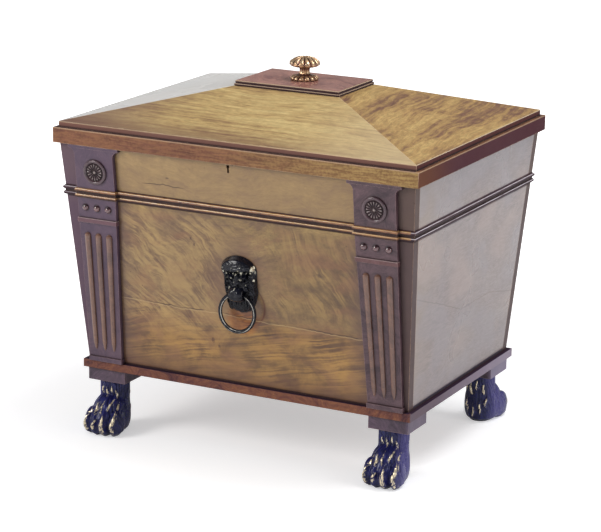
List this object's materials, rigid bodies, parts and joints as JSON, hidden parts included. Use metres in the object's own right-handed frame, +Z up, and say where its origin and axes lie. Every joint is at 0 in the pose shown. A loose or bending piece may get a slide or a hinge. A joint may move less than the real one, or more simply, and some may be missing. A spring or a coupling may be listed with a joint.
{
  "type": "cellarette",
  "caption": "Tapered sarcophagus-shaped cellarette with hipped lid, reeded pilasters, lion-mask ring pull and paw feet.",
  "frame": {"origin": "on the floor, under the middle of the closed lid", "axes": "+X along the width, to the right seen from the front; the front faces -Y; +Z up"},
  "size_m": [0.68, 0.536, 0.6612],
  "materials": {
    "crotch_mahogany": "figured veneer, french polished",
    "mahogany": "french polished",
    "base_mahogany": "french polished",
    "ebonised_wood": "blacked and rubbed, touched with gilt",
    "beech": "plain",
    "moulding_mahogany": "french polished",
    "pilaster_mahogany": "french polished",
    "reed_mahogany": "french polished",
    "brass": "satin",
    "steel": "plain",
    "bronze": "dark patina with worn gilt",
    "lid_mahogany": "figured veneer, french polished",
    "lining_mahogany": "waxed",
    "gilt_brass": "burnished gilt",
    "lead": "dull sheet lead"
  },
  "bodies": {
    "cabinet": {"back_board": "mahogany", "base_board": "base_mahogany", "bottom_board": "mahogany", "corner_block_back_left": "base_mahogany", "corner_block_back_right": "base_mahogany", "corner_block_front_left": "base_mahogany", "corner_block_front_right": "base_mahogany", "cross_partitions": "lining_mahogany", "foot_dowels": "beech", "front_board": "crotch_mahogany", "hinge_pins": "steel", "keyhole_escutcheon": "brass", "left_board": "mahogany", "left_cross_band": "pilaster_mahogany", "left_hinge_lower": "brass", "left_patera": "reed_mahogany", "left_pilaster_block": "pilaster_mahogany", "left_pilaster_break": "moulding_mahogany", "left_pilaster_foot": "pilaster_mahogany", "left_pilaster_shaft": "pilaster_mahogany", "left_reeds": "reed_mahogany", "liner": "lead", "lion_mask": "bronze", "lock_case": "brass", "long_partitions": "lining_mahogany", "lower_hinge_screws": "brass", "mask_bolt": "steel", "paw_foot_back_left": "ebonised_wood", "paw_foot_back_right": "ebonised_wood", "paw_foot_front_left": "ebonised_wood", "paw_foot_front_right": "ebonised_wood", "pilaster_balls": "reed_mahogany", "right_board": "mahogany", "right_cross_band": "pilaster_mahogany", "right_hinge_lower": "brass", "right_patera": "reed_mahogany", "right_pilaster_block": "pilaster_mahogany", "right_pilaster_break": "moulding_mahogany", "right_pilaster_foot": "pilaster_mahogany", "right_pilaster_shaft": "pilaster_mahogany", "right_reeds": "reed_mahogany", "waist_moulding": "moulding_mahogany"},
    "lid": {"left_hinge_upper": "brass", "right_hinge_upper": "brass", "upper_hinge_screws": "brass", "lock_staple": "brass", "lid_frame": "lid_mahogany", "lid_front_slope": "lid_mahogany", "lid_back_slope": "lid_mahogany", "lid_left_slope": "lid_mahogany", "lid_right_slope": "lid_mahogany", "cap_bearer": "lid_mahogany", "lid_cap": "lid_mahogany", "lid_lining": "lining_mahogany", "knob": "gilt_brass", "knob_bolt": "steel"},
    "ring": {"ring_pull": "bronze"},
    "bolt": {"lock_bolt": "brass"}
  },
  "joints": [
    {"name": "lid_hinge", "type": "hinge", "parent": "cabinet", "child": "lid", "pos_m": [0, 0.264, 0.5222], "axis": [-1, 0, 0], "range_deg": [0, 95]},
    {"name": "ring_swing", "type": "hinge", "parent": "cabinet", "child": "ring", "pos_m": [0.005, -0.24368, 0.29763], "axis": [-1, 0, 0], "range_deg": [-10, 100]},
    {"name": "bolt_slide", "type": "slide", "parent": "cabinet", "child": "bolt", "axis": [1, 0, 0], "range_m": [0, 0.008]}
  ]
}
